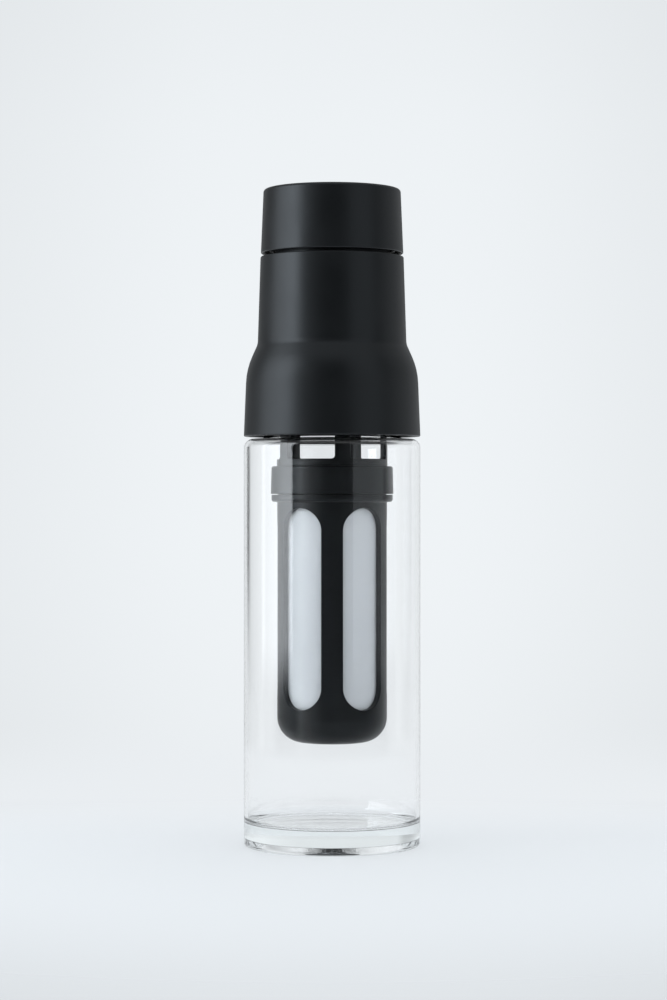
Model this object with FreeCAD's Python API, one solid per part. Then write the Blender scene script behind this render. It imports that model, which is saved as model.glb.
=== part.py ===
"""Cold brew coffee maker: a glass carafe with a plug-in lid, a screw cap and a strainer that hangs inside.

Millimetres, +Z up, origin at the centre of the base.  The front of the maker faces -Y.
From the bottom up: a blown glass body with a thick base and an open neck; a lid made of a collar
shell over a pouring tube, with a lipped silicone ring that plugs the neck; a holder with five arms
and a coupling ring under the lid; a strainer basket with five windows over one sleeve of fine mesh,
screwed up into the coupling ring; and a cap on the pouring tube.
Both screw pairs are right-handed two-start threads of the same lead.
"""
import FreeCAD
import Part
import math
import os

# ---------------------------------------------------------------- glass body
BODY_R = 42.5  # outer radius of the carafe
WALL = 1.9  # thickness of the glass wall
FLOOR_T = 11.3  # thickness of the heavy base
FLOOR_ROUND = 3.2  # inside corner between floor and wall
FOOT_ROUND = 2.2  # outside corner under the base
FOOT_RING_W = 2.0  # width of the flat ring that the carafe stands on
PUNT_RISE = 3.6  # how far the underside is pushed up at the centre
PUNT_EDGE_RISE = 3.2  # how far it is pushed up at the head of the bank
PUNT_BANK = 3.5  # width of the sloping bank inside the foot ring
PUNT_ROUND = 1.0  # rounding at the head of that bank
HEEL_ROUND = 5.0  # rounding at its foot
STRAIGHT_Z = 191.35  # height at which the straight wall ends
SHOULDER_ROUND = 4.2  # outside radius of the shoulder's corner
SHOULDER_SLOPE = 1.5  # slope of the shoulder, in degrees
SHOULDER_T = 1.4  # thickness of the shoulder
NECK_BORE_R = 30.0  # inside radius of the neck
NECK_WALL = 2.4  # thickness of the neck
NECK_H = 26.6  # height of the rim above the foot of the neck
NECK_FILLET = 2.0  # corner between shoulder and neck
RIM_ROUND = 0.9  # fire-polished edges of the rim

# ---------------------------------------------------------------- lid
COLLAR_RISE = 1.0  # the collar ends this far above the foot of the neck
COLLAR_H = 86.5  # height of the collar
COLLAR_WALL = 2.2  # thickness of the collar
COLLAR_DRAFT = 2.3  # lean of the collar's lower wall, in degrees
BULGE_LEAN = 24.0  # lean of the collar's shoulder where it meets the grip, in degrees
BULGE_ROUND = 60.0  # radius that rounds the collar's shoulder
GRIP_H = 42.0  # height of the grip above the collar's shoulder
GRIP_FLARE = 1.35  # the grip is this much wider at its foot
GRIP_STEP = 0.15  # the grip stands out from the cap by this much
GRIP_FILLET = 8.0  # rounding between grip and shoulder
EDGE_ROUND = 0.6  # small rounding of moulded edges
OPENING_ROUND = 0.45  # rounding of the outer edges of the windows and openings
TUBE_WALL = 2.6  # thickness of the pouring tube
TUBE_RISE = 26.05  # height of the tube's rim above the collar
PLUG_DEPTH = 22.5  # how far the tube reaches below the rim of the glass
WEB_T = 2.5  # thickness of the web that closes the collar over the neck
SEAT_CLEARANCE = 0.1  # air around a piece that is pushed into another for good
RING_LAND_T = 1.6  # lip of the tube that carries the neck ring
NECK_RING_T = 2.0  # thickness of the silicone that sits on the rim
NECK_RING_SKIN = 1.2  # thickness of the silicone inside the neck
LIP_REACH = 1.2  # air between that silicone and the glass, which the lips bridge
LIP_COUNT = 3  # sealing lips inside the neck
LIP_T = 1.2  # thickness of a lip at its root
LIP_CLEARANCE = 0.25  # air between a lip and the glass

# ---------------------------------------------------------------- strainer holder
ARM_COUNT = 5  # arms under the lid
ARM_W = 8.2  # width of an arm
ARM_T = 3.0  # thickness of an arm
ARM_H = 14.0  # height of the holder between the pouring tube and the foot of its openings
ARM_TURN = 11.0  # turn of the first arm from the front, in degrees
ARM_CORNER = 1.6  # rounding in the corners of the openings between the arms
HOLDER_STEP = 1.0  # step from the pouring tube in to the arms
HOLDER_RING_H = 3.4  # height of the ring that joins the arms below
HOLDER_HEAD_H = 1.5  # height of the ring that joins the arms above
HOLDER_FLOOR_T = 2.2  # thickness of the floor inside the lower ring
SPIGOT_H = 9.0  # height of the spigot inside the pouring tube
SPIGOT_T = 2.2  # thickness of the holder's two spigots

# ---------------------------------------------------------------- coupling and strainer
NECK_PASS = 0.5  # air around the coupling ring when it passes the neck
COUPLING_H = 13.3  # height of the coupling ring
COUPLING_WALL = 1.8  # thickness of the coupling ring
COUPLING_TAPER = 0.3  # the coupling ring is this much narrower at its top
COUPLING_ROUND = 1.0  # rounding of its top edge
COUPLING_ROOF_T = 2.2  # thickness of its roof
ROOF_SHELF = 2.0  # how far the roof reaches in over the basket's rim
BASKET_SEAL_T = 1.8  # thickness of the flat ring that seals the basket
BASKET_GAP = 0.4  # shadow gap between coupling ring and basket flange
BASKET_FLANGE_SET = 0.3  # the flange is this much narrower than the coupling ring
BASKET_FLANGE_T = 3.4  # thickness of the basket flange
BASKET_FLANGE_ROUND = 1.6  # rounding under the flange
BASKET_STEP = 3.1  # step from the coupling ring in to the basket wall
BASKET_WALL = 3.0  # thickness of the basket wall
BASKET_DEPTH = 115.4  # depth of the basket below its flange
BASKET_BOWL = 12.0  # outside rounding of the bowl at the bottom
WINDOW_COUNT = 5  # windows round the basket
WINDOW_W = 21.5  # width of a window
WINDOW_HEAD = 2.9  # wall between the flange and the windows
WINDOW_FOOT = 16.6  # wall between the windows and the bottom
MESH_T = 0.35  # thickness of the mesh sleeve
MESH_CLEARANCE = 0.05  # air between the sleeve and the basket wall
MESH_HEM = 2.2  # overlap of the sleeve above and below the windows

# ---------------------------------------------------------------- cap
CAP_GAP = 1.5  # shadow gap between collar and cap
CAP_FLARE = 1.3  # the cap is this much wider at its foot
CAP_WALL = 2.1  # thickness of the cap's wall
CAP_ROOF_T = 2.4  # thickness of the cap's top
CAP_EDGE_ROUND = 1.6  # rounding of the cap's top edge
CAP_SEAL_T = 1.8  # thickness of the flat ring in the cap
CAP_SEAL_W = 5.5  # width of that ring
LINER_ROOF_T = 2.2  # thickness of the threaded liner's roof
LINER_WALL = 1.6  # thickness of the threaded liner's wall
LINER_LIFT = 1.2  # the liner ends this far above the cap's lower edge

# ---------------------------------------------------------------- threads
THREAD_LEAD = 8.0  # rise in one turn
THREAD_STARTS = 2  # ridges side by side
THREAD_TURNS = 0.6  # length of each ridge, in turns
THREAD_DEPTH = 1.2  # height of a ridge
THREAD_ROOT_W = 2.2  # width of a ridge at its root
THREAD_CREST_W = 1.0  # width of a ridge at its crest
THREAD_CLEARANCE = 0.4  # air between a crest and the wall it faces
THREAD_SINK = 0.4  # how far a ridge is rooted in its wall
THREAD_END = 1.0  # plain length between a thread and the edge it starts from

# ---------------------------------------------------------------- radii and levels worked out
AXIS = FreeCAD.Vector(0, 0, 1)
ORIGIN = FreeCAD.Vector(0, 0, 0)
FRONT = -90.0  # direction of the front, in degrees from +X
PAST = 1.0  # how far a cutting block reaches past the face it cuts

neck_r = NECK_BORE_R + NECK_WALL
inner_r = BODY_R - WALL
slope_rise = math.tan(math.radians(SHOULDER_SLOPE))
slope_wall = SHOULDER_T / math.cos(math.radians(SHOULDER_SLOPE))
corner_reach = SHOULDER_ROUND * math.tan(math.radians(45 - SHOULDER_SLOPE / 2))
shoulder_edge_z = STRAIGHT_Z + corner_reach
neck_foot_z = shoulder_edge_z + (BODY_R - neck_r) * slope_rise
rim_z = neck_foot_z + NECK_H

ring_r = NECK_BORE_R - LIP_REACH
tube_r = ring_r - NECK_RING_SKIN
tube_bore_r = tube_r - TUBE_WALL
tube_foot_z = rim_z - PLUG_DEPTH
web_z = rim_z + NECK_RING_T
collar_z = neck_foot_z + COLLAR_RISE
collar_top_z = collar_z + COLLAR_H
tube_top_z = collar_top_z + TUBE_RISE

liner_bore_r = tube_r + THREAD_DEPTH + THREAD_CLEARANCE
liner_r = liner_bore_r + LINER_WALL
cap_top_r = liner_r + SEAT_CLEARANCE + CAP_WALL
cap_foot_r = cap_top_r + CAP_FLARE
cap_z = collar_top_z + CAP_GAP
liner_roof_z = tube_top_z + CAP_SEAL_T
cap_ceiling_z = liner_roof_z + LINER_ROOF_T
cap_top_z = cap_ceiling_z + CAP_ROOF_T
grip_top_r = cap_foot_r + GRIP_STEP
grip_foot_r = grip_top_r + GRIP_FLARE
grip_foot_z = collar_top_z - GRIP_H

holder_r = tube_r - HOLDER_STEP
holder_bore_r = holder_r - ARM_T
opening_z = tube_foot_z - ARM_H
coupling_top_z = opening_z - HOLDER_RING_H
coupling_roof_z = coupling_top_z - COUPLING_ROOF_T
coupling_z = coupling_top_z - COUPLING_H
coupling_r = NECK_BORE_R - NECK_PASS
coupling_bore_r = coupling_r - COUPLING_WALL

basket_r = coupling_r - BASKET_STEP
basket_bore_r = basket_r - BASKET_WALL
basket_neck_r = coupling_bore_r - THREAD_CLEARANCE - THREAD_DEPTH
basket_rim_z = coupling_roof_z - BASKET_SEAL_T
flange_top_z = coupling_z - BASKET_GAP
flange_z = flange_top_z - BASKET_FLANGE_T
basket_z = flange_z - BASKET_DEPTH
roof_bore_r = basket_bore_r - ROOF_SHELF
window_z = basket_z + WINDOW_FOOT
window_top_z = flange_z - WINDOW_HEAD
mesh_r = basket_bore_r - MESH_CLEARANCE


def thread_below(edge_z):
    """Height at which a thread starts that ends just under an edge."""
    return edge_z - THREAD_END - THREAD_ROOT_W / 2 - THREAD_LEAD * THREAD_TURNS


def thread_above(edge_z):
    """Height at which a thread starts just over an edge."""
    return edge_z + THREAD_END + THREAD_ROOT_W / 2


half_pitch = THREAD_LEAD / THREAD_STARTS / 2
tube_thread_z = thread_below(tube_top_z)
liner_thread_z = tube_thread_z - half_pitch
basket_thread_z = thread_below(basket_rim_z)
coupling_thread_z = thread_above(coupling_z)


# ---------------------------------------------------------------- how shapes are made
def outline(corners):
    """Closed wire in the XZ plane through (radius, height[, rounding]) corners, rounded by tangent arcs."""
    points = [FreeCAD.Vector(corner[0], 0, corner[1]) for corner in corners]
    rounds = [corner[2] if len(corner) > 2 else 0.0 for corner in corners]
    stops = []
    for i, here in enumerate(points):
        back = points[i - 1] - here
        ahead = points[(i + 1) % len(points)] - here
        if rounds[i] <= 0:
            stops.append((here, None, here))
            continue
        room = 0.49 * min(back.Length, ahead.Length)
        back.normalize()
        ahead.normalize()
        half = back.getAngle(ahead) / 2
        reach = min(rounds[i] / math.tan(half), room)
        radius = reach * math.tan(half)
        inward = back + ahead
        inward.normalize()
        middle = here + inward * (radius / math.sin(half) - radius)
        stops.append((here + back * reach, middle, here + ahead * reach))
    edges = []
    for i, (start, middle, end) in enumerate(stops):
        if middle is not None:
            edges.append(Part.Arc(start, middle, end).toShape())
        following = stops[(i + 1) % len(stops)][0]
        edges.append(Part.LineSegment(end, following).toShape())
    return Part.Wire(edges)


def turned(*corners):
    """Solid of revolution about the Z axis."""
    return Part.Face(outline(corners)).revolve(ORIGIN, AXIS, 360)


def ring(inside_r, outside_r, low, high):
    """Plain ring between two radii and two heights."""
    return turned((inside_r, low), (outside_r, low), (outside_r, high), (inside_r, high))


def round_about(shape, count, first_turn):
    """Copies of a shape that points to +X, spread evenly about the axis from a turn off the front."""
    copies = []
    for i in range(count):
        copy = shape.copy()
        copy.rotate(ORIGIN, AXIS, FRONT + first_turn + i * 360.0 / count)
        copies.append(copy)
    return copies


def radial_block(width, low, high, corner, reach):
    """Block with rounded corners in its upright face, from the axis out along +X."""
    half = width / 2
    face = Part.Face(outline([(-half, low, corner), (half, low, corner),
                              (half, high, corner), (-half, high, corner)]))
    face.rotate(ORIGIN, AXIS, 90)
    return face.extrude(FreeCAD.Vector(reach, 0, 0))


def eased(solid, radius, low, high):
    """The solid with its edges rounded that lie on a cylinder about the axis, between two heights."""
    edges = []
    for edge in solid.Edges:
        span = edge.LastParameter - edge.FirstParameter
        points = [edge.valueAt(edge.FirstParameter + span * i / 4) for i in range(5)]
        if all(abs(math.hypot(p.x, p.y) - radius) < 1e-3 and low - 1e-3 < p.z < high + 1e-3 for p in points):
            edges.append(edge)
    return solid.makeFillet(OPENING_ROUND, edges).Solids[0]


def radial_slot(width, low, high, reach):
    """Block with half-round ends, from the axis out along +X."""
    half = width / 2
    shoulder = FreeCAD.Vector(0, half, 0)
    foot = FreeCAD.Vector(0, 0, low + half)
    head = FreeCAD.Vector(0, 0, high - half)
    tip = FreeCAD.Vector(0, 0, half)
    wire = Part.Wire([
        Part.Arc(foot - shoulder, foot - tip, foot + shoulder).toShape(),
        Part.LineSegment(foot + shoulder, head + shoulder).toShape(),
        Part.Arc(head + shoulder, head + tip, head - shoulder).toShape(),
        Part.LineSegment(head - shoulder, foot - shoulder).toShape()])
    return Part.Face(wire).extrude(FreeCAD.Vector(reach, 0, 0))


def threaded(tube, wall_r, outward, start_z, helix_z):
    """The tube with ridges on its wall, from a height up, on the helix that passes the front at helix_z."""
    way = 1.0 if outward else -1.0
    flank = (THREAD_ROOT_W - THREAD_CREST_W) / 2 / THREAD_DEPTH
    root = wall_r - way * THREAD_SINK
    crest = wall_r + way * THREAD_DEPTH
    half_root = THREAD_ROOT_W / 2 + THREAD_SINK * flank
    half_crest = THREAD_CREST_W / 2
    section = outline([(root, -half_root), (crest, -half_crest), (crest, half_crest), (root, half_root)])
    path = Part.Wire(Part.makeHelix(THREAD_LEAD, THREAD_LEAD * THREAD_TURNS, wall_r))
    ridge = path.makePipeShell([section], True, True)
    ridge.translate(AXIS * start_z)
    first_turn = 360.0 * (start_z - helix_z) / THREAD_LEAD
    solid = tube.fuse(round_about(ridge, THREAD_STARTS, first_turn))
    return solid.removeSplitter().Solids[0]


# ---------------------------------------------------------------- the glass
def shoulder_z(radius):
    """Height of the shoulder's outer slope at a radius."""
    return neck_foot_z - (radius - neck_r) * slope_rise


def make_glass_body():
    """Blown carafe: heavy base with a pushed-up underside, straight wall, shoulder and open neck."""
    heel_reach = HEEL_ROUND * math.tan(math.atan2(PUNT_EDGE_RISE, PUNT_BANK) / 2)
    bank_r = BODY_R - FOOT_ROUND - FOOT_RING_W - heel_reach
    return turned(
        (0, PUNT_RISE),
        (bank_r - PUNT_BANK, PUNT_EDGE_RISE, PUNT_ROUND),
        (bank_r, 0, HEEL_ROUND),
        (BODY_R, 0, FOOT_ROUND),
        (BODY_R, shoulder_z(BODY_R), SHOULDER_ROUND),
        (neck_r, neck_foot_z, NECK_FILLET),
        (neck_r, rim_z, RIM_ROUND),
        (NECK_BORE_R, rim_z, RIM_ROUND),
        (NECK_BORE_R, shoulder_z(NECK_BORE_R) - slope_wall, NECK_FILLET + NECK_WALL),
        (inner_r, shoulder_z(inner_r) - slope_wall, SHOULDER_ROUND - SHOULDER_T),
        (inner_r, FLOOR_T, FLOOR_ROUND),
        (0, FLOOR_T))


# ---------------------------------------------------------------- the lid
def make_neck_gasket():
    """Silicone ring on the plug: a flange for the rim of the glass, and lips for its bore."""
    foot_z = tube_foot_z + RING_LAND_T
    lip_r = NECK_BORE_R - LIP_CLEARANCE
    spacing = (rim_z - foot_z) / (LIP_COUNT + 1)
    corners = [(tube_r, foot_z), (ring_r, foot_z)]
    for i in range(LIP_COUNT):
        root_z = foot_z + spacing * (i + 1) - LIP_T
        corners += [(ring_r, root_z), (lip_r, root_z + LIP_T), (ring_r, root_z + 2 * LIP_T)]
    corners += [(ring_r, rim_z), (neck_r, rim_z, EDGE_ROUND), (neck_r, web_z, EDGE_ROUND), (tube_r, web_z)]
    return turned(*corners)


def collar_wall(inset):
    """Corners of the collar's wall from its lower edge up to its top, moved in by an inset."""
    draft = math.tan(math.radians(COLLAR_DRAFT))
    lean = math.tan(math.radians(BULGE_LEAN))
    bend_z = (grip_foot_r + lean * grip_foot_z - BODY_R - draft * collar_z) / (lean - draft)
    bend_r = BODY_R - draft * (bend_z - collar_z)
    return [(BODY_R - inset, collar_z),
            (bend_r - inset, bend_z, BULGE_ROUND - inset),
            (grip_foot_r - inset, grip_foot_z, GRIP_FILLET + inset),
            (grip_top_r - inset, collar_top_z)]


def make_collar_shell():
    """Outer skin of the lid: skirt, rounded shoulder and grip, closed at the top round the tube."""
    outside = collar_wall(0)
    inside = collar_wall(COLLAR_WALL)
    roof_z = collar_top_z - COLLAR_WALL
    bore_r = tube_r + SEAT_CLEARANCE
    return turned(
        (*outside[0], EDGE_ROUND), outside[1], outside[2], (*outside[3], EDGE_ROUND),
        (bore_r, collar_top_z), (bore_r, roof_z), (inside[3][0], roof_z, EDGE_ROUND),
        inside[2], inside[1], (*inside[0], EDGE_ROUND))


def make_pouring_tube():
    """Tube through the lid: plug and ring land below, web against the collar, threaded mouth above."""
    land_z = tube_foot_z + RING_LAND_T
    tube = turned(
        (tube_bore_r, tube_foot_z), (ring_r, tube_foot_z, EDGE_ROUND), (ring_r, land_z), (tube_r, land_z),
        (tube_r, tube_top_z, EDGE_ROUND), (tube_bore_r, tube_top_z, EDGE_ROUND))
    hollow = turned((0, collar_z), *collar_wall(COLLAR_WALL + SEAT_CLEARANCE), (0, collar_top_z))
    web = ring(tube_r - TUBE_WALL / 2, BODY_R, web_z, web_z + WEB_T).common(hollow)
    return threaded(tube.fuse(web), tube_r, True, tube_thread_z, tube_thread_z)


# ---------------------------------------------------------------- the strainer's holder
def make_strainer_holder():
    """Holder under the pouring tube: a spigot, five arms, and a floored ring over the strainer."""
    head_z = tube_foot_z - HOLDER_HEAD_H
    spigot_r = tube_bore_r - SEAT_CLEARANCE
    body = ring(holder_bore_r, holder_r, coupling_top_z, tube_foot_z)
    collar = turned(
        (spigot_r - SPIGOT_T, head_z, EDGE_ROUND), (holder_r, head_z), (holder_r, tube_foot_z),
        (spigot_r, tube_foot_z), (spigot_r, tube_foot_z + SPIGOT_H, EDGE_ROUND),
        (spigot_r - SPIGOT_T, tube_foot_z + SPIGOT_H, EDGE_ROUND))
    floor = turned((0, opening_z - HOLDER_FLOOR_T), (holder_r - ARM_T / 2, opening_z - HOLDER_FLOOR_T),
                   (holder_r - ARM_T / 2, opening_z), (0, opening_z))
    lower_r = roof_bore_r - SEAT_CLEARANCE
    lower_spigot = ring(lower_r - SPIGOT_T, lower_r, coupling_roof_z, opening_z - HOLDER_FLOOR_T / 2)
    shelf = ring(lower_r - SPIGOT_T / 2, holder_r - ARM_T / 2, coupling_top_z, opening_z)
    half_opening = math.pi / ARM_COUNT - math.asin(ARM_W / 2 / holder_r)
    opening = radial_block(2 * holder_r * math.sin(half_opening), opening_z, head_z, ARM_CORNER,
                           holder_r + PAST)
    openings = round_about(opening, ARM_COUNT, ARM_TURN + 180.0 / ARM_COUNT)
    solid = body.cut(openings).fuse([collar, floor, lower_spigot, shelf]).removeSplitter()
    return eased(solid, holder_r, opening_z, head_z)


def make_coupling_ring():
    """Ring with the female thread and a roof that the basket's rim is drawn up against."""
    blank = turned(
        (coupling_bore_r, coupling_z), (coupling_r, coupling_z, EDGE_ROUND / 2),
        (coupling_r - COUPLING_TAPER, coupling_top_z, COUPLING_ROUND), (roof_bore_r, coupling_top_z),
        (roof_bore_r, coupling_roof_z), (coupling_bore_r, coupling_roof_z))
    return threaded(blank, coupling_bore_r, False, coupling_thread_z, basket_thread_z - half_pitch)


# ---------------------------------------------------------------- the strainer
def make_basket_seal():
    """Flat silicone ring between the coupling ring's roof and the basket's rim."""
    return ring(basket_bore_r, basket_neck_r, basket_rim_z, coupling_roof_z)


def make_strainer_basket():
    """Basket with a threaded rim, a flange, five tall windows and a bowl-shaped closed bottom."""
    flange_r = coupling_r - BASKET_FLANGE_SET
    blank = turned(
        (0, basket_z), (basket_r, basket_z, BASKET_BOWL), (basket_r, flange_z, EDGE_ROUND),
        (flange_r, flange_z, BASKET_FLANGE_ROUND), (flange_r, flange_top_z, EDGE_ROUND / 2),
        (basket_neck_r, flange_top_z), (basket_neck_r, basket_rim_z), (basket_bore_r, basket_rim_z),
        (basket_bore_r, basket_z + BASKET_WALL, BASKET_BOWL - BASKET_WALL), (0, basket_z + BASKET_WALL))
    window = radial_slot(WINDOW_W, window_z, window_top_z, basket_r + PAST)
    cage = blank.cut(round_about(window, WINDOW_COUNT, 180.0 / WINDOW_COUNT))
    cage = eased(cage, basket_r, window_z, window_top_z)
    return threaded(cage, basket_neck_r, True, basket_thread_z, basket_thread_z)


def make_mesh_sleeve():
    """Sleeve of fine mesh that lines the basket behind its windows."""
    return ring(mesh_r - MESH_T, mesh_r, window_z - MESH_HEM, window_top_z + MESH_HEM)


# ---------------------------------------------------------------- the cap
def make_cap_shell():
    """Outer skin of the cap."""
    return turned(
        (0, cap_top_z), (0, cap_ceiling_z), (cap_top_r - CAP_WALL, cap_ceiling_z),
        (cap_foot_r - CAP_WALL, cap_z, EDGE_ROUND), (cap_foot_r, cap_z, EDGE_ROUND),
        (cap_top_r, cap_top_z, CAP_EDGE_ROUND))


def make_cap_liner():
    """Threaded inner cup of the cap, fixed under the cap's top."""
    liner_z = cap_z + LINER_LIFT
    cup = turned(
        (0, liner_roof_z), (liner_bore_r, liner_roof_z), (liner_bore_r, liner_z, EDGE_ROUND),
        (liner_r, liner_z, EDGE_ROUND), (liner_r, cap_ceiling_z), (0, cap_ceiling_z))
    return threaded(cup, liner_bore_r, False, liner_thread_z, tube_thread_z - half_pitch)


def make_cap_seal():
    """Flat silicone ring between the liner's roof and the rim of the pouring tube."""
    seal_r = liner_bore_r - SEAT_CLEARANCE
    return ring(seal_r - CAP_SEAL_W, seal_r, tube_top_z, liner_roof_z)


MAKERS = {
    "glass_body": make_glass_body,
    "neck_gasket": make_neck_gasket,
    "collar_shell": make_collar_shell,
    "pouring_tube": make_pouring_tube,
    "strainer_holder": make_strainer_holder,
    "coupling_ring": make_coupling_ring,
    "basket_seal": make_basket_seal,
    "strainer_basket": make_strainer_basket,
    "mesh_sleeve": make_mesh_sleeve,
    "cap_shell": make_cap_shell,
    "cap_liner": make_cap_liner,
    "cap_seal": make_cap_seal,
}

if __name__ == "__main__":
    os.makedirs("parts", exist_ok=True)
    for name, make in MAKERS.items():
        make().exportStep("parts/%s.step" % name)
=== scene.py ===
"""Looks of a cold brew coffee maker.

It has a glass carafe, a black lid and cap, and a strainer with a mesh sleeve.  Metres, +Z up, in the frame
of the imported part, whose front faces -Y.  The glass, the collar and the cap are turned again with exact
roundings, the mesh sleeve is woven, and the other nodes keep their shape.
"""

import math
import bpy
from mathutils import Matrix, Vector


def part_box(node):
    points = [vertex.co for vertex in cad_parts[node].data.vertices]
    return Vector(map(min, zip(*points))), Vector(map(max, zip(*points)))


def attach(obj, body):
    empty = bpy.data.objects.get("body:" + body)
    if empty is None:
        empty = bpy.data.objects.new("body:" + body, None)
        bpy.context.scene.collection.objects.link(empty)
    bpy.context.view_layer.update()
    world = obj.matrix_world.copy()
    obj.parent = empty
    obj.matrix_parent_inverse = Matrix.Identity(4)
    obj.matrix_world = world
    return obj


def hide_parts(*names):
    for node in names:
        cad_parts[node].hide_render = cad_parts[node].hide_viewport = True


bl_info = {
    "name": "Cold Brew Coffee Maker",
    "version": (1, 0, 0),
    "blender": (4, 5, 0),
    "location": "3D Viewport > Sidebar > Coffee Maker",
    "description": "Finishes the glass, lid, strainer and cap of a cold brew coffee maker, and lights it",
    "category": "Mesh",
}

import bmesh
import bpy
from bpy.props import FloatProperty, FloatVectorProperty, PointerProperty
from mathutils import Matrix, Vector

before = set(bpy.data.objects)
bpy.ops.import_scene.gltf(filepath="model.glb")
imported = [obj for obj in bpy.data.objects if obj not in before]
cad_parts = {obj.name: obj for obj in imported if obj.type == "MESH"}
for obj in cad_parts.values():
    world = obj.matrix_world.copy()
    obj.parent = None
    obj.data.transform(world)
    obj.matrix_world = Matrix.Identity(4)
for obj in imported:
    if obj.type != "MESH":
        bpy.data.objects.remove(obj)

AROUND = 256  # steps in which the turned pieces go round
ARC_STEP = math.radians(7)  # largest turn between two rings of a rounding
ARC_FEWEST = 3  # fewest steps of a rounding
SIDE_SHARE = 0.49  # largest share of a side that the rounding of its corner takes up
SHARP = math.radians(40)  # corners above this angle stay crisp
TINY = 1e-7  # vertices nearer than this are one
SLEEVE_STEPS = (180, 24)  # steps in which the mesh sleeve goes round and up


def size(name, description, default):
    """A length that the user can change, in metres."""
    return FloatProperty(name=name, description=description, default=default, min=0.0,
                         subtype="DISTANCE", unit="LENGTH", precision=5)


def colour(name, description, default):
    """A colour that the user can change, in linear values."""
    return FloatVectorProperty(name=name, description=description, default=default, size=3,
                               min=0.0, max=1.0, subtype="COLOR")


def low(node):
    """Height of a node's lowest point."""
    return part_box(node)[0].z


def high(node):
    """Height of a node's highest point."""
    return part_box(node)[1].z


# ---------------------------------------------------------------- what can be changed
class CarafeSizes(bpy.types.PropertyGroup):
    """Sizes and tint of the glass carafe."""

    radius: size("Radius", "Outer radius of the carafe", 0.0425)
    wall: size("Wall", "Thickness of the glass wall", 0.0019)
    floor: size("Base", "Thickness of the heavy base", 0.0113)
    floor_round: size("Floor Rounding", "Inside corner between floor and wall", 0.0032)
    foot_round: size("Foot Rounding", "Outside corner under the base", 0.0022)
    foot_ring: size("Foot Ring", "Width of the flat ring that the carafe stands on", 0.002)
    heel_round: size("Heel Rounding", "Rounding from the flat ring up into the bank", 0.005)
    punt_rise: size("Punt", "How far the underside is pushed up at the centre", 0.0036)
    punt_edge: size("Punt Edge", "How far it is pushed up at the head of the bank", 0.0032)
    punt_bank: size("Punt Bank", "Width of the sloping bank inside the foot ring", 0.0035)
    punt_round: size("Punt Rounding", "Rounding at the head of the bank", 0.001)
    shoulder_round: size("Shoulder Rounding", "Outside radius of the shoulder's corner", 0.0042)
    shoulder_wall: size("Shoulder Wall", "Thickness of the shoulder", 0.0014)
    neck_bore: size("Neck Bore", "Inside radius of the neck", 0.03)
    neck_wall: size("Neck Wall", "Thickness of the neck", 0.0024)
    neck_height: size("Neck Height", "Height of the rim above the foot of the neck", 0.0266)
    neck_fillet: size("Neck Fillet", "Corner between shoulder and neck", 0.002)
    rim_round: size("Rim Rounding", "Fire-polished edges of the rim", 0.0009)
    shoulder_slope: FloatProperty(name="Shoulder Slope", description="Slope of the shoulder",
                                  default=math.radians(1.5), subtype="ANGLE", unit="ROTATION")
    tint: colour("Tint", "Colour that thick glass takes on", (0.80, 0.93, 0.90))
    tint_density: FloatProperty(name="Tint Density",
                                description="Strength of the tint in each metre of glass",
                                default=2.5, min=0.0)


class LidSizes(bpy.types.PropertyGroup):
    """Sizes of the collar and the cap."""

    collar_wall: size("Collar Wall", "Thickness of the collar", 0.0022)
    collar_foot: size("Collar Foot", "Radius of the collar's lower edge", 0.0425)
    grip_foot: size("Grip Foot", "Radius at the foot of the grip", 0.0358)
    grip_top: size("Grip Top", "Radius at the top of the grip", 0.03445)
    grip_height: size("Grip Height", "Height of the grip above the collar's shoulder", 0.042)
    grip_fillet: size("Grip Fillet", "Rounding between grip and shoulder", 0.008)
    bulge_round: size("Shoulder Rounding", "Radius that rounds the collar's shoulder", 0.06)
    edge_round: size("Edge Rounding", "Small rounding of moulded edges", 0.0006)
    tube_seat: size("Tube Seat", "Radius of the hole that the pouring tube stands in", 0.0277)
    cap_wall: size("Cap Wall", "Thickness of the cap's wall", 0.0021)
    cap_roof: size("Cap Top", "Thickness of the cap's top", 0.0024)
    cap_foot: size("Cap Foot", "Radius of the cap's lower edge", 0.0343)
    cap_top: size("Cap Top Radius", "Radius of the cap's top", 0.033)
    cap_round: size("Cap Edge Rounding", "Rounding of the cap's top edge", 0.0016)
    draft: FloatProperty(name="Draft", description="Lean of the collar's lower wall",
                         default=math.radians(2.3), subtype="ANGLE", unit="ROTATION")
    bulge_lean: FloatProperty(name="Shoulder Lean",
                              description="Lean of the collar's shoulder under the grip",
                              default=math.radians(24), subtype="ANGLE", unit="ROTATION")


class SleeveSizes(bpy.types.PropertyGroup):
    """Sizes of the mesh sleeve."""

    radius: size("Radius", "Outer radius of the sleeve", 0.02335)
    thickness: size("Thickness", "Thickness of the woven mesh", 0.00035)
    pitch: size("Pitch", "Distance from one thread to the next", 0.0004)
    open_share: FloatProperty(name="Open Share", description="Share of the mesh that is see-through",
                              default=0.15, min=0.0, max=1.0, subtype="FACTOR")


class FinishColours(bpy.types.PropertyGroup):
    """Colours of the plastics and the mesh."""

    plastic: colour("Plastic", "Colour of the black moulded plastic", (0.0018, 0.0023, 0.0028))
    sheen_tint: colour("Highlight Tint", "Colour of what the black plastic mirrors", (0.90, 0.95, 1.0))
    silicone: colour("Silicone", "Colour of the flat silicone rings", (0.030, 0.031, 0.033))
    # Pale grey: the ring's own silicone with painted light on it, standing in for the light and reflection
    # seen through the neck glass
    neck_ring_and_painted_light: colour("Neck Ring", "Colour of the silicone ring in the neck", (0.20, 0.21, 0.205))
    mesh: colour("Mesh", "Colour of the woven mesh", (0.355, 0.368, 0.385))


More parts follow.
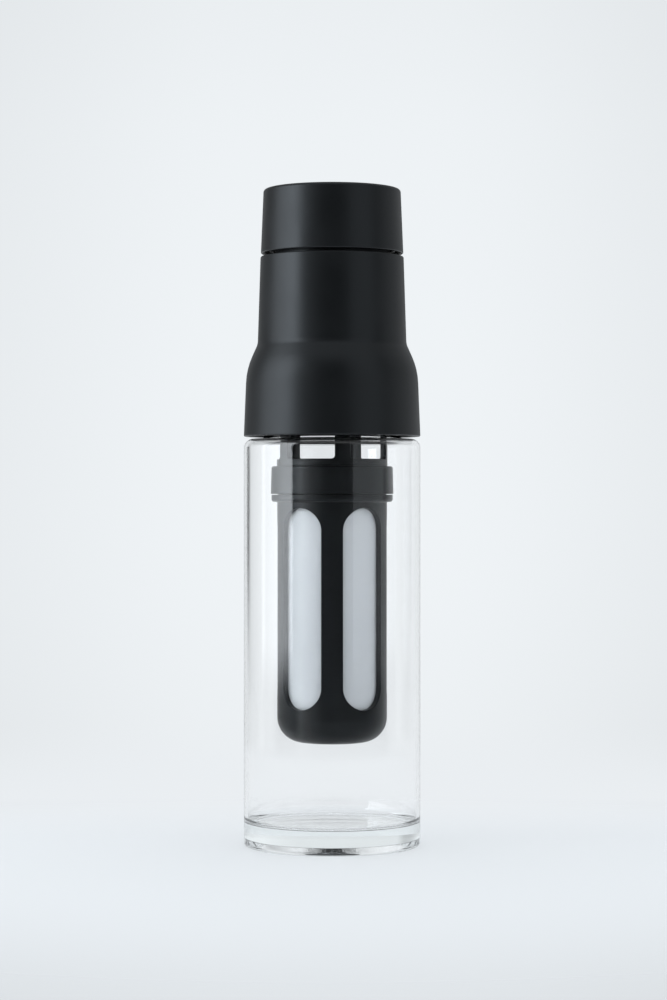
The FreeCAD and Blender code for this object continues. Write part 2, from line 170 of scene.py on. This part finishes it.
class StudioSettings(bpy.types.PropertyGroup):
    """Floor, lamps and camera."""

    floor: colour("Floor", "Colour of the floor", (0.825, 0.857, 0.886))
    wall: colour("Wall", "Colour of the backdrop", (0.871, 0.905, 0.930))
    lens: FloatProperty(name="Lens", description="Focal length of the camera", default=95.04,
                        min=1.0, subtype="DISTANCE_CAMERA")
    camera_distance: size("Camera Distance", "Distance from the axis to the camera", 1.2714)
    camera_height: size("Camera Height", "Height of the camera above the floor", 0.1662)
    camera_side: size("Camera Side", "How far right of the axis the camera stands", 0.00067)
    fill: FloatProperty(name="Fill", description="Level of the soft light from all round", default=3.0,
                        min=0.0)
    left_level: FloatProperty(name="Left Softbox", description="Brightness of the large softbox",
                              default=4.1, min=0.0)
    right_level: FloatProperty(name="Right Softbox", description="Brightness of the dim softbox",
                               default=0.45, min=0.0)
    floor_glow: FloatProperty(name="Floor Glow",
                              description="Share of the near floor's tone that shadows leave alone",
                              default=0.6, min=0.0, max=1.0, subtype="FACTOR")


class CoffeeMaker(bpy.types.PropertyGroup):
    """All settings of the coffee maker."""

    carafe: PointerProperty(type=CarafeSizes)
    lid: PointerProperty(type=LidSizes)
    sleeve: PointerProperty(type=SleeveSizes)
    finish: PointerProperty(type=FinishColours)
    studio: PointerProperty(type=StudioSettings)


# ---------------------------------------------------------------- how shapes are made
def rounding(before, corner, after, radius):
    """First point, centre and turn of the arc that rounds a corner."""
    back, ahead = before - corner, after - corner
    room = SIDE_SHARE * min(back.length, ahead.length)
    back.normalize()
    ahead.normalize()
    half = back.angle(ahead) / 2
    reach = min(radius / math.tan(half), room)
    centre = corner + (back + ahead).normalized() * reach / math.cos(half)
    first, last = corner + back * reach, corner + ahead * reach
    return first, centre, (first - centre).angle_signed(last - centre)


def turned(name, corners):
    """Closed piece turned about the Z axis from an outline of (radius, height[, rounding]) corners."""
    points = [Vector(corner[:2]) for corner in corners]
    shape = bmesh.new()
    tip = None
    for i, here in enumerate(points):
        start, turn = here, 0.0
        if len(corners[i]) > 2:
            after = points[(i + 1) % len(points)]
            start, centre, turn = rounding(points[i - 1], here, after, corners[i][2])
        if tip is None:
            tip = shape.verts.new((start.x, 0, start.y))
        else:
            tip = bmesh.ops.extrude_vert_indiv(shape, verts=[tip])["verts"][0]
            tip.co = (start.x, 0, start.y)
        if turn:
            steps = max(ARC_FEWEST, math.ceil(abs(turn) / ARC_STEP))
            arc = bmesh.ops.spin(shape, geom=[tip], cent=(centre.x, 0, centre.y), axis=(0, 1, 0),
                                 angle=turn, steps=steps)
            tip = next(part for part in arc["geom_last"] if isinstance(part, bmesh.types.BMVert))
    shape.verts.ensure_lookup_table()
    if points[0].x > 0 or points[-1].x > 0:
        shape.edges.new((tip, shape.verts[0]))
    bmesh.ops.spin(shape, geom=shape.verts[:] + shape.edges[:], cent=(0, 0, 0), axis=(0, 0, 1),
                   angle=math.tau, steps=AROUND, use_merge=True)
    bmesh.ops.remove_doubles(shape, verts=shape.verts[:], dist=TINY)
    bmesh.ops.recalc_face_normals(shape, faces=shape.faces[:])
    return finished(name, shape)


def finished(name, shape):
    """Smooth-shaded object of a bmesh, with its crisp corners kept."""
    for face in shape.faces:
        face.smooth = True
    for edge in shape.edges:
        edge.smooth = edge.calc_face_angle(0.0) < SHARP
    mesh = bpy.data.meshes.new(name)
    shape.to_mesh(mesh)
    shape.free()
    piece = bpy.data.objects.new(name, mesh)
    bpy.context.scene.collection.objects.link(piece)
    normals = piece.modifiers.new("Flat Faces First", "WEIGHTED_NORMAL")
    normals.keep_sharp = True
    return piece


def dress(piece, material):
    """Gives a piece or a node its material."""
    piece.data.materials.clear()
    piece.data.materials.append(material)


def put(piece, node, body, material):
    """Puts a new piece in the place of a node, on its body."""
    dress(piece, material)
    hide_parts(node)
    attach(piece, body)


# ---------------------------------------------------------------- how materials are made
# Cells of the patterns in a metre, and for the cloth in the length of its UV map
GLASS_WAVES = 22.0  # broad waves of blown glass
GLASS_LINES = 330.0  # fine lines in its wall
PLASTIC_GRAIN = 2600.0
PLASTIC_CLOUDS = 45.0
SILICONE_BLOOM = 160.0
SILICONE_GRAIN = 3200.0
CLOTH_CLOUDS = 9.0

DRAWN_OUT = (1.0, 1.0, 0.03)  # scale of place that stretches the lines of the glass upwards
LET_THROUGH = (0.94, 0.955, 0.95)  # share of the lamps' light that each surface of the glass passes on
PATTERN_SPAN = (0.3, 0.7)  # values that most of a pattern keeps to
PLASTIC_ROUGHNESS = (0.33, 0.39)
SILICONE_ROUGHNESS = (0.48, 0.6)
HOLE = (0.95, 0.45)  # heights of the weave at which a thread ends and the hole beside it is fully open


def add(tree, kind, inputs=None, **settings):
    """Node with its settings, and a value or another node's socket for each named input."""
    node = tree.nodes.new(kind)
    for name, value in settings.items():
        setattr(node, name, value)
    for name, value in (inputs or {}).items():
        if isinstance(value, bpy.types.NodeSocket):
            tree.links.new(value, node.inputs[name])
        else:
            node.inputs[name].default_value = value
    return node


def maths(tree, operation, first, second=0.0):
    """Result of a sum on two values or sockets."""
    return add(tree, "ShaderNodeMath", {0: first, 1: second}, operation=operation).outputs[0]


def product(tree, first, *others):
    """Product of several values or sockets."""
    for other in others:
        first = maths(tree, "MULTIPLY", first, other)
    return first


def rest_of(tree, share):
    """What a share leaves of 1."""
    return maths(tree, "SUBTRACT", 1.0, share)


def between(tree, value, start, end, to_start=0.0, to_end=1.0, curve="SMOOTHSTEP"):
    """Value carried from one range to another, smoothly unless the curve says otherwise."""
    return add(tree, "ShaderNodeMapRange", {"Value": value, "From Min": start, "From Max": end,
                                            "To Min": to_start, "To Max": to_end},
               interpolation_type=curve).outputs["Result"]


def new_tree(name):
    """Material with an empty node tree and its output."""
    material = bpy.data.materials.new(name)
    material.use_nodes = True
    material.node_tree.nodes.clear()
    return material, material.node_tree, add(material.node_tree, "ShaderNodeOutputMaterial")


def object_place(tree):
    """Place on the object, in metres from its origin."""
    return add(tree, "ShaderNodeTexCoord").outputs["Object"]


def tones(tree, value, base, dark, light):
    """Colour that goes with a value from dark times a base colour to light times it."""
    ramp = add(tree, "ShaderNodeValToRGB", {"Fac": value})
    for stop, share in zip(ramp.color_ramp.elements, (dark, light)):
        stop.color = (*(share * part for part in base), 1)
    return ramp.outputs["Color"]


def noise(tree, place, scale, detail=2.0):
    """Soft random pattern, in cells of about 1 / scale."""
    pattern = add(tree, "ShaderNodeTexNoise", {"Vector": place, "Scale": scale, "Detail": detail})
    return pattern.outputs["Fac"]


def relief(tree, pattern, strength, depth, under=None):
    """Normal of a surface with a relief on it, on top of another relief where one is given."""
    bump = add(tree, "ShaderNodeBump", {"Height": pattern, "Strength": strength, "Distance": depth})
    if under is not None:
        tree.links.new(under, bump.inputs["Normal"])
    return bump.outputs["Normal"]


def blown_glass(tint, density):
    """Clear glass that takes on a faint tint where it is thick, and lets the lamps through."""
    material, tree, output = new_tree("Blown Glass")
    place = object_place(tree)
    waves = relief(tree, noise(tree, place, GLASS_WAVES, 1.0), strength=0.06, depth=0.0004)
    drawn = add(tree, "ShaderNodeVectorMath", {0: place, 1: DRAWN_OUT}, operation="MULTIPLY").outputs[0]
    lines = relief(tree, noise(tree, drawn, GLASS_LINES), strength=0.05, depth=0.0001, under=waves)
    glass = add(tree, "ShaderNodeBsdfPrincipled", {
        "Base Color": (1.0, 1.0, 1.0, 1.0), "Roughness": 0.0, "IOR": 1.5, "Transmission Weight": 1.0,
        "Normal": lines})
    clear = add(tree, "ShaderNodeBsdfTransparent", {"Color": (*LET_THROUGH, 1)})
    to_lamp = add(tree, "ShaderNodeLightPath").outputs["Is Shadow Ray"]
    mix = add(tree, "ShaderNodeMixShader", {0: to_lamp, 1: glass.outputs[0], 2: clear.outputs[0]})
    thick = add(tree, "ShaderNodeVolumeAbsorption", {"Color": (*tint, 1), "Density": density})
    tree.links.new(mix.outputs[0], output.inputs["Surface"])
    tree.links.new(thick.outputs[0], output.inputs["Volume"])
    return material


def black_plastic(name, finish, shine=0.5):
    """Matte black moulded plastic: fine spark-eroded grain, and roughness that varies a little."""
    material, tree, output = new_tree(name)
    place = object_place(tree)
    grains = noise(tree, place, PLASTIC_GRAIN, 3.0)
    clouds = noise(tree, place, PLASTIC_CLOUDS, 3.0)
    plastic = add(tree, "ShaderNodeBsdfPrincipled", {
        "Base Color": tones(tree, grains, finish.plastic, dark=0.82, light=1.2),
        "Roughness": between(tree, clouds, *PATTERN_SPAN, *PLASTIC_ROUGHNESS),
        "IOR": 1.49, "Specular IOR Level": shine, "Specular Tint": (*finish.sheen_tint, 1),
        "Normal": relief(tree, grains, strength=0.15, depth=0.00004)})
    tree.links.new(plastic.outputs[0], output.inputs["Surface"])
    return material


def silicone(name, base):
    """Silicone rubber with a dull bloom on it."""
    material, tree, output = new_tree(name)
    place = object_place(tree)
    bloom = noise(tree, place, SILICONE_BLOOM, 4.0)
    rubber = add(tree, "ShaderNodeBsdfPrincipled", {
        "Base Color": tones(tree, bloom, base, dark=0.9, light=1.3),
        "Roughness": between(tree, bloom, *PATTERN_SPAN, *SILICONE_ROUGHNESS),
        "IOR": 1.41, "Sheen Weight": 0.15, "Sheen Roughness": 0.5,
        "Normal": relief(tree, noise(tree, place, SILICONE_GRAIN), strength=0.12, depth=0.00005)})
    tree.links.new(rubber.outputs[0], output.inputs["Surface"])
    return material


def woven_mesh(base, across, along, open_share):
    """Fine plain weave of pale threads on the sleeve's own UV map, see-through between them."""
    material, tree, output = new_tree("Woven Mesh")
    place = add(tree, "ShaderNodeUVMap", uv_map="UVMap").outputs["UV"]
    split = add(tree, "ShaderNodeSeparateXYZ", {"Vector": place})
    waves = []
    for socket, count in (("X", across), ("Y", along)):
        phase = maths(tree, "MULTIPLY", split.outputs[socket], math.pi * count)
        waves.append(maths(tree, "ABSOLUTE", maths(tree, "SINE", phase)))
    threads = maths(tree, "MAXIMUM", *waves)
    open_here = product(tree, between(tree, threads, *HOLE), open_share)
    thread = add(tree, "ShaderNodeBsdfPrincipled", {
        "Base Color": tones(tree, noise(tree, place, CLOTH_CLOUDS), base, dark=0.95, light=1.0),
        "Roughness": 0.55, "IOR": 1.45,
        "Normal": relief(tree, threads, strength=0.25, depth=0.0001),
        "Alpha": maths(tree, "SUBTRACT", 1.0 - open_share / 2, open_here)})
    tree.links.new(thread.outputs[0], output.inputs["Surface"])
    return material


# ---------------------------------------------------------------- the pieces
def carafe_outline(sizes):
    """Corners of the carafe's section, from the centre of its underside round to that of its floor."""
    slope = math.tan(sizes.shoulder_slope)
    neck = sizes.neck_bore + sizes.neck_wall
    rim = high("glass_body")
    neck_foot = rim - sizes.neck_height
    inside = sizes.radius - sizes.wall
    heel_reach = sizes.heel_round * math.tan(math.atan2(sizes.punt_edge, sizes.punt_bank) / 2)
    bank = sizes.radius - sizes.foot_round - sizes.foot_ring - heel_reach
    sunk = sizes.shoulder_wall / math.cos(sizes.shoulder_slope)

    def shoulder(radius):
        return neck_foot - (radius - neck) * slope

    return [
        (0, sizes.punt_rise),
        (bank - sizes.punt_bank, sizes.punt_edge, sizes.punt_round),
        (bank, 0, sizes.heel_round),
        (sizes.radius, 0, sizes.foot_round),
        (sizes.radius, shoulder(sizes.radius), sizes.shoulder_round),
        (neck, neck_foot, sizes.neck_fillet),
        (neck, rim, sizes.rim_round),
        (sizes.neck_bore, rim, sizes.rim_round),
        (sizes.neck_bore, shoulder(sizes.neck_bore) - sunk, sizes.neck_fillet + sizes.neck_wall),
        (inside, shoulder(inside) - sunk, sizes.shoulder_round - sizes.shoulder_wall),
        (inside, sizes.floor, sizes.floor_round),
        (0, sizes.floor)]


def collar_outline(sizes):
    """Corners of the collar's section, up its outside, across its top and down its inside."""
    foot, top = low("collar_shell"), high("collar_shell")
    draft, lean = math.tan(sizes.draft), math.tan(sizes.bulge_lean)
    grip_foot = top - sizes.grip_height
    bend = (sizes.grip_foot + lean * grip_foot - sizes.collar_foot - draft * foot) / (lean - draft)
    bend_r = sizes.collar_foot - draft * (bend - foot)
    wall, edge = sizes.collar_wall, sizes.edge_round
    return [
        (sizes.collar_foot, foot, edge),
        (bend_r, bend, sizes.bulge_round),
        (sizes.grip_foot, grip_foot, sizes.grip_fillet),
        (sizes.grip_top, top, edge),
        (sizes.tube_seat, top),
        (sizes.tube_seat, top - wall),
        (sizes.grip_top - wall, top - wall, edge),
        (sizes.grip_foot - wall, grip_foot, sizes.grip_fillet + wall),
        (bend_r - wall, bend, sizes.bulge_round - wall),
        (sizes.collar_foot - wall, foot, edge)]


def cap_outline(sizes):
    """Corners of the cap's section, from the centre of its top down its inside and up its outside."""
    foot, top = low("cap_shell"), high("cap_shell")
    ceiling = top - sizes.cap_roof
    return [
        (0, top),
        (0, ceiling),
        (sizes.cap_top - sizes.cap_wall, ceiling),
        (sizes.cap_foot - sizes.cap_wall, foot, sizes.edge_round),
        (sizes.cap_foot, foot, sizes.edge_round),
        (sizes.cap_top, top, sizes.cap_round)]


def mesh_sleeve(sizes):
    """Sheet of mesh, wound into a tube and joined along its seam, and its length and height laid flat."""
    middle = sizes.radius - sizes.thickness / 2
    foot, top = low("mesh_sleeve"), high("mesh_sleeve")
    across, up = SLEEVE_STEPS
    shape = bmesh.new()
    shape.loops.layers.uv.new("UVMap")
    bmesh.ops.create_grid(shape, x_segments=across, y_segments=up, size=0.5, calc_uvs=True)
    for vert in shape.verts:
        turn = Matrix.Rotation(math.tau * (vert.co.x + 0.5), 3, "Z")
        vert.co = turn @ Vector((0, middle, foot + (top - foot) * (vert.co.y + 0.5)))
    bmesh.ops.remove_doubles(shape, verts=shape.verts[:], dist=TINY)
    bmesh.ops.recalc_face_normals(shape, faces=shape.faces[:])
    if shape.faces[:][0].normal.dot(shape.faces[:][0].calc_center_median()) < 0:
        bmesh.ops.reverse_faces(shape, faces=shape.faces[:])
    piece = finished("woven_sleeve", shape)
    piece.modifiers.clear()
    wall = piece.modifiers.new("Thread Thickness", "SOLIDIFY")
    wall.thickness, wall.offset = sizes.thickness, 0.0
    return piece, (math.tau * middle, top - foot)


class MakeCarafe(bpy.types.Operator):
    """Turns the glass carafe and gives it clear glass."""

    bl_idname = "coffee_maker.make_carafe"
    bl_label = "Make Carafe"

    def execute(self, context):
        sizes = context.scene.coffee_maker.carafe
        put(turned("carafe_glass", carafe_outline(sizes)), "glass_body", "carafe",
            blown_glass(sizes.tint, sizes.tint_density))
        return {"FINISHED"}


class MakeLid(bpy.types.Operator):
    """Turns the collar, and finishes the pouring tube and the neck ring."""

    bl_idname = "coffee_maker.make_lid"
    bl_label = "Make Lid"

    def execute(self, context):
        settings = context.scene.coffee_maker
        shell = black_plastic("Lid Plastic", settings.finish)
        put(turned("collar", collar_outline(settings.lid)), "collar_shell", "lid", shell)
        dress(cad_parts["pouring_tube"], black_plastic("Tube Plastic", settings.finish, shine=0.4))
        # The neck ring's pale grey is partly its silicone and partly painted light
        dress(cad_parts["neck_gasket"], silicone("Neck Ring Silicone And Painted Light", settings.finish.neck_ring_and_painted_light))
        return {"FINISHED"}


class MakeStrainer(bpy.types.Operator):
    """Finishes the holder, the coupling ring and the basket, and winds the mesh sleeve."""

    bl_idname = "coffee_maker.make_strainer"
    bl_label = "Make Strainer"

    def execute(self, context):
        settings = context.scene.coffee_maker
        plastic = black_plastic("Strainer Plastic", settings.finish, shine=0.3)
        for node in ("strainer_holder", "coupling_ring", "strainer_basket"):
            dress(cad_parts[node], plastic)
        dress(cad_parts["basket_seal"], silicone("Basket Seal Silicone", settings.finish.silicone))
        sleeve, flat = mesh_sleeve(settings.sleeve)
        weave = woven_mesh(settings.finish.mesh, round(flat[0] / settings.sleeve.pitch),
                           round(flat[1] / settings.sleeve.pitch), settings.sleeve.open_share)
        put(sleeve, "mesh_sleeve", "basket", weave)
        return {"FINISHED"}


class MakeCap(bpy.types.Operator):
    """Turns the cap, and finishes its threaded liner and its seal."""

    bl_idname = "coffee_maker.make_cap"
    bl_label = "Make Cap"

    def execute(self, context):
        settings = context.scene.coffee_maker
        shell = black_plastic("Cap Plastic", settings.finish)
        put(turned("cap", cap_outline(settings.lid)), "cap_shell", "cap", shell)
        dress(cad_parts["cap_liner"], shell)
        dress(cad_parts["cap_seal"], silicone("Cap Seal Silicone", settings.finish.silicone))
        return {"FINISHED"}


# ---------------------------------------------------------------- the studio
LAMP_DISTANCE = 0.9  # from the axis to a lamp
LAMP_HEIGHT = 0.95  # of a lamp, which stands on the floor
LAMP_FOOT = (0.0, 0.06)  # shares of its height between which a lamp comes up out of the dark
LAMP_SLOPE = (-1.4, 0.4)  # and between which it rises evenly to its full level

FLOOR_RADIUS = 2.0
FLOOR_STEPS = 96
MATTE_SHARE = 0.37  # share of the floor's colour in the part of it that takes light and shadow
FLOOR_EVEN = (0.02, 0.21)  # distances behind the axis between which the floor stops taking shadows
FLOOR_FADE = (0.16, 0.75)  # distances from the axis between which the floor fades out
MIRRORED_FADE = (0.45, 0.6)  # and between which it does in what the object mirrors

# The wall that the camera sees, from how far down to how far up a view looks: (share of the way up, level)
WALL_REACH = (-0.2, 0.2)
WALL_LEVELS = ((0.0, 0.935), (0.2, 0.94), (0.36, 0.985), (0.5, 1.0), (0.85, 0.985), (1.0, 0.94))

# What the object mirrors round it: (degrees from the front towards +X, level), apart from the two lamps
SURROUNDINGS = (
    (-180, 0.88), (-145, 0.88), (-138, 0.6), (-130, 0.6), (-123, 0.7), (-108, 1.1), (-101, 1.1),
    (-98, 0.03), (-50, 0.03), (-42, 0.4), (-25, 0.15), (-12, 0.03), (74, 0.03), (80, 0.5), (96, 0.95),
    (140, 1.0), (165, 0.88), (180, 0.88))
BRIGHTEST = 1.2  # level of white in the ramp of the surroundings

# Soft steps of the light: (start, end), and where they aren't 0 and 1, the values there
WALL_SIDES = (0.03, 0.16, 1.0, 0.92)  # level of the wall, by how far a view looks aside
CEILING = (0.45, 0.85, 0.0, 0.6)  # level of the ceiling, by how far a view looks up
TABLE_EDGE = (-0.05, -0.08)  # where the lit table lies, by how far a view looks up
TABLE_SIDES = (1.25, 1.55, 0.0, 0.8)  # level of the table, by the angle from the front in radians
BLURRED_SIDES = (1.2, 1.4, 0.0, 0.6)  # share of the walls' light that dull surfaces lose, by that angle

# A dark strip behind on the left draws the left edge of the glass.  Its sides are steps in degrees from the
# front towards +X, and its foot and head are steps in how far a view looks up.
STRIP_MIRRORED = ((-149.5, -149), (-140.5, -141))
STRIP_FOOT = (-0.08, -0.01)
STRIP_HEAD = (0.06, 0.03)
STRIP_SEEN = ((-168, -164), (-138, -143))  # its sides where it is seen through the glass
STRIP_SEEN_FOOT = (-0.08, 0.0, 0.0, 0.97)  # its foot there, and how dark it is


def ray_past(tree):
    """1 or 0 for a ray that a matt surface has sent on, that was mirrored, and that went through glass."""
    ray = add(tree, "ShaderNodeLightPath")
    return [maths(tree, "GREATER_THAN", ray.outputs[depth], 0.5)
            for depth in ("Diffuse Depth", "Glossy Depth", "Transmission Depth")]


def stage_floor(studio):
    """Pale round floor that keeps a soft shadow and fades into the backdrop."""
    shape = bmesh.new()
    bmesh.ops.create_circle(shape, cap_ends=True, segments=FLOOR_STEPS, radius=FLOOR_RADIUS)
    floor = finished("floor", shape)
    floor.modifiers.clear()
    material, tree, output = new_tree("Floor")
    place = object_place(tree)
    away = add(tree, "ShaderNodeVectorMath", {0: place}, operation="LENGTH").outputs["Value"]
    behind = add(tree, "ShaderNodeSeparateXYZ", {0: place}).outputs["Y"]
    matt, mirrored, _ = ray_past(tree)
    shaded = [MATTE_SHARE * part for part in studio.floor]
    matte = add(tree, "ShaderNodeBsdfDiffuse", {"Color": (*shaded, 1)})
    glow = add(tree, "ShaderNodeEmission", {"Color": (*studio.floor, 1), "Strength": 1.0})
    share = product(tree, rest_of(tree, matt), between(tree, behind, *FLOOR_EVEN, studio.floor_glow, 1.0))
    lit = add(tree, "ShaderNodeMixShader", {0: share, 1: matte.outputs[0], 2: glow.outputs[0]})
    gone = add(tree, "ShaderNodeBsdfTransparent")
    fade = add(tree, "ShaderNodeMix", {"Factor": mirrored, "A": between(tree, away, *FLOOR_FADE),
                                       "B": between(tree, away, *MIRRORED_FADE)}).outputs["Result"]
    faded = add(tree, "ShaderNodeMixShader", {0: fade, 1: lit.outputs[0], 2: gone.outputs[0]})
    tree.links.new(faded.outputs[0], output.inputs["Surface"])
    floor.data.materials.append(material)


def softbox(name, azimuth, width, level, tone, edge=1.0, spread=1.0, shift=0.0):
    """Upright area lamp that stands on the floor and faces the axis, darker towards its foot.

    Its hot spot lies shift to the side of its middle.  Away from it the lamp falls to edge times its level,
    over a distance of about spread.
    """
    lamp = bpy.data.lights.new(name, "AREA")
    lamp.shape = "RECTANGLE"
    lamp.size, lamp.size_y = width, LAMP_HEIGHT
    lamp.energy = level * math.pi * lamp.size * lamp.size_y
    lamp.color = tone
    lamp.use_nodes = True
    tree = lamp.node_tree
    tree.nodes.clear()
    place = add(tree, "ShaderNodeSeparateXYZ", {0: add(tree, "ShaderNodeTexCoord").outputs["UV"]})
    across, up = place.outputs["X"], place.outputs["Y"]
    off = product(tree, maths(tree, "SUBTRACT", across, 0.5 + shift / width), width / spread)
    bell = maths(tree, "EXPONENT", product(tree, off, off, -1.0))
    hot = maths(tree, "ADD", product(tree, bell, 1.0 - edge), edge)
    share = product(tree, hot, between(tree, up, *LAMP_FOOT),
                    between(tree, up, *LAMP_SLOPE, curve="LINEAR"))
    glow = add(tree, "ShaderNodeEmission", {"Strength": share})
    tree.links.new(glow.outputs[0], add(tree, "ShaderNodeOutputLight").inputs[0])
    holder = bpy.data.objects.new(name, lamp)
    bpy.context.scene.collection.objects.link(holder)
    turn = math.radians(azimuth)
    holder.location = (LAMP_DISTANCE * math.sin(turn), -LAMP_DISTANCE * math.cos(turn), LAMP_HEIGHT / 2)
    holder.rotation_euler = (math.radians(90), 0, turn)
    holder.visible_camera = False


def graph(tree, value, points):
    """Colour ramp node through (position, colour) points."""
    node = add(tree, "ShaderNodeValToRGB", {"Fac": value})
    stops = node.color_ramp.elements
    for stop, (position, tone) in zip((stops[0], stops[1]), (points[0], points[-1])):
        stop.position, stop.color = position, (*tone, 1)
    for position, tone in points[1:-1]:
        stops.new(position).color = (*tone, 1)
    return node


def window(tree, azimuth, rise, fall):
    """1 between two directions and 0 outside them, with a soft step at each end, in degrees."""
    return product(tree, between(tree, azimuth, *map(math.radians, rise)),
                   between(tree, azimuth, *map(math.radians, fall)))


def seen_level(tree, aside, azimuth, up, through):
    """Level of the wall that the camera sees: darker aside and, through the glass, in the dark strip."""
    strip = product(tree, window(tree, azimuth, *STRIP_SEEN), between(tree, up, *STRIP_SEEN_FOOT), through)
    return product(tree, rest_of(tree, strip), between(tree, maths(tree, "ABSOLUTE", aside), *WALL_SIDES))


def mirrored_level(tree, azimuth, up):
    """Level of what the object mirrors: a dark front between lit walls, a lit ceiling and a lit table."""
    points = [(degrees / 360 + 0.5, Vector((1, 1, 1)) * level / BRIGHTEST)
              for degrees, level in SURROUNDINGS]
    around = graph(tree, maths(tree, "ADD", product(tree, azimuth, 1 / math.tau), 0.5), points)
    off_front = maths(tree, "ABSOLUTE", azimuth)
    blurred = rest_of(tree, add(tree, "ShaderNodeLightPath").outputs["Is Singular Ray"])
    lost = product(tree, blurred, between(tree, off_front, *BLURRED_SIDES))
    strip = product(tree, window(tree, azimuth, *STRIP_MIRRORED),
                    between(tree, up, *STRIP_FOOT), between(tree, up, *STRIP_HEAD))
    walls = product(tree, around.outputs["Color"], BRIGHTEST, rest_of(tree, lost), rest_of(tree, strip))
    table = product(tree, between(tree, off_front, *TABLE_SIDES), between(tree, up, *TABLE_EDGE))
    return maths(tree, "MAXIMUM", maths(tree, "MAXIMUM", walls, between(tree, up, *CEILING)), table)


def backdrop(studio):
    """World of a pale wall that is seen, surroundings that are mirrored, and fill light on matt surfaces."""
    world = bpy.data.worlds.new("Studio")
    bpy.context.scene.world = world
    world.use_nodes = True
    tree = world.node_tree
    tree.nodes.clear()
    split = add(tree, "ShaderNodeSeparateXYZ", {0: add(tree, "ShaderNodeTexCoord").outputs["Generated"]})
    aside, ahead, up = split.outputs
    azimuth = maths(tree, "ARCTAN2", aside, maths(tree, "MULTIPLY", ahead, -1.0))
    matt, glossy, through = ray_past(tree)
    tone = Vector(studio.wall)
    ramp = graph(tree, between(tree, up, *WALL_REACH, curve="LINEAR"),
                 [(position, tone * level) for position, level in WALL_LEVELS])
    ramp.color_ramp.interpolation = "B_SPLINE"
    seen = add(tree, "ShaderNodeBackground", {
        "Color": ramp.outputs["Color"], "Strength": seen_level(tree, aside, azimuth, up, through)})
    mirrored = add(tree, "ShaderNodeBackground", {
        "Color": (*tone, 1), "Strength": mirrored_level(tree, azimuth, up)})
    fill = add(tree, "ShaderNodeBackground", {"Color": (*tone, 1), "Strength": studio.fill})
    first = add(tree, "ShaderNodeMixShader", {0: glossy, 1: seen.outputs[0], 2: mirrored.outputs[0]})
    both = add(tree, "ShaderNodeMixShader", {0: matt, 1: first.outputs[0], 2: fill.outputs[0]})
    tree.links.new(both.outputs[0], add(tree, "ShaderNodeOutputWorld").inputs["Surface"])


class SetStudio(bpy.types.Operator):
    """Puts up the camera, the lamps, the floor and the backdrop."""

    bl_idname = "coffee_maker.set_studio"
    bl_label = "Set Studio"

    def execute(self, context):
        studio = context.scene.coffee_maker.studio
        camera = bpy.data.objects.new("Camera", bpy.data.cameras.new("Camera"))
        context.scene.collection.objects.link(camera)
        context.scene.camera = camera
        camera.data.lens = studio.lens
        camera.location = (studio.camera_side, -studio.camera_distance, studio.camera_height)
        camera.rotation_euler = (math.radians(90), 0, 0)
        context.scene.view_settings.view_transform = "Standard"
        softbox("Left Softbox", azimuth=-77.5, width=0.84, level=studio.left_level,
                tone=(0.90, 0.955, 1.0), edge=0.36, spread=0.4, shift=0.32)
        softbox("Right Softbox", azimuth=48, width=0.7, level=studio.right_level, tone=(0.90, 0.96, 1.0))
        backdrop(studio)
        stage_floor(studio)
        return {"FINISHED"}


class CoffeeMakerPanel(bpy.types.Panel):
    """Sizes, colours and steps of the coffee maker"""

    bl_idname = "VIEW3D_PT_coffee_maker"
    bl_label = "Cold Brew Coffee Maker"
    bl_space_type = "VIEW_3D"
    bl_region_type = "UI"
    bl_category = "Coffee Maker"

    def draw(self, context):
        settings = context.scene.coffee_maker
        for group in (settings.studio, settings.carafe, settings.lid, settings.sleeve, settings.finish):
            box = self.layout.box()
            for name in group.bl_rna.properties.keys():
                if name not in {"rna_type", "name"}:
                    box.prop(group, name)
        for step in STEPS:
            self.layout.operator(step.bl_idname)


GROUPS = (CarafeSizes, LidSizes, SleeveSizes, FinishColours, StudioSettings, CoffeeMaker)
STEPS = (SetStudio, MakeCarafe, MakeLid, MakeStrainer, MakeCap)


def register():
    """Makes the settings, steps and panel known to Blender."""
    for kind in (*GROUPS, *STEPS, CoffeeMakerPanel):
        bpy.utils.register_class(kind)
    bpy.types.Scene.coffee_maker = PointerProperty(type=CoffeeMaker)


def unregister():
    """Takes the settings, steps and panel away again."""
    del bpy.types.Scene.coffee_maker
    for kind in reversed((*GROUPS, *STEPS, CoffeeMakerPanel)):
        bpy.utils.unregister_class(kind)


def main():
    """Makes the whole coffee maker."""
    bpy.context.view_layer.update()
    register()
    bpy.ops.coffee_maker.set_studio()
    bpy.ops.coffee_maker.make_carafe()
    bpy.ops.coffee_maker.make_lid()
    bpy.ops.coffee_maker.make_strainer()
    bpy.ops.coffee_maker.make_cap()


if __name__ == "__main__":
    main()
